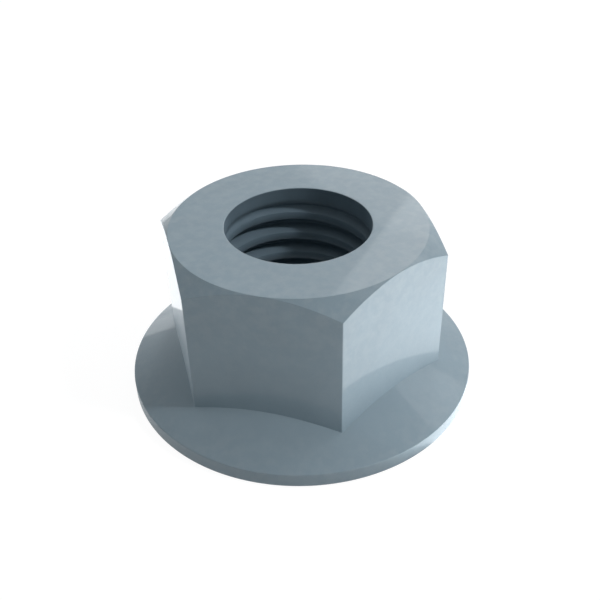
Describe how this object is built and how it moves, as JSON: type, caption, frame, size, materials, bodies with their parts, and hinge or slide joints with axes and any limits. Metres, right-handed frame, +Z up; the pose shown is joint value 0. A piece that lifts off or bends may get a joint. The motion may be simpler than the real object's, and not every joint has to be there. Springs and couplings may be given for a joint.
{
  "type": "hexagon flange lock nut",
  "caption": "Hexagon lock nut with a conical flange, a through bore for a coarse thread, and ratchet teeth on the bearing face that stop it shaking loose.",
  "frame": {"origin": "centre of the bore on the plane of the tooth crests, which is the bearing plane", "axes": "+Z up the bore towards the chamfered top; two corners of the hexagon lie on the X axis and two flats face +Y and -Y"},
  "size_m": [0.0254, 0.0254, 0.0125],
  "materials": {
    "coated_steel": "satin blue-grey coating on forged steel"
  },
  "bodies": {
    "root": {"flange_lock_nut": "coated_steel"}
  },
  "joints": []
}
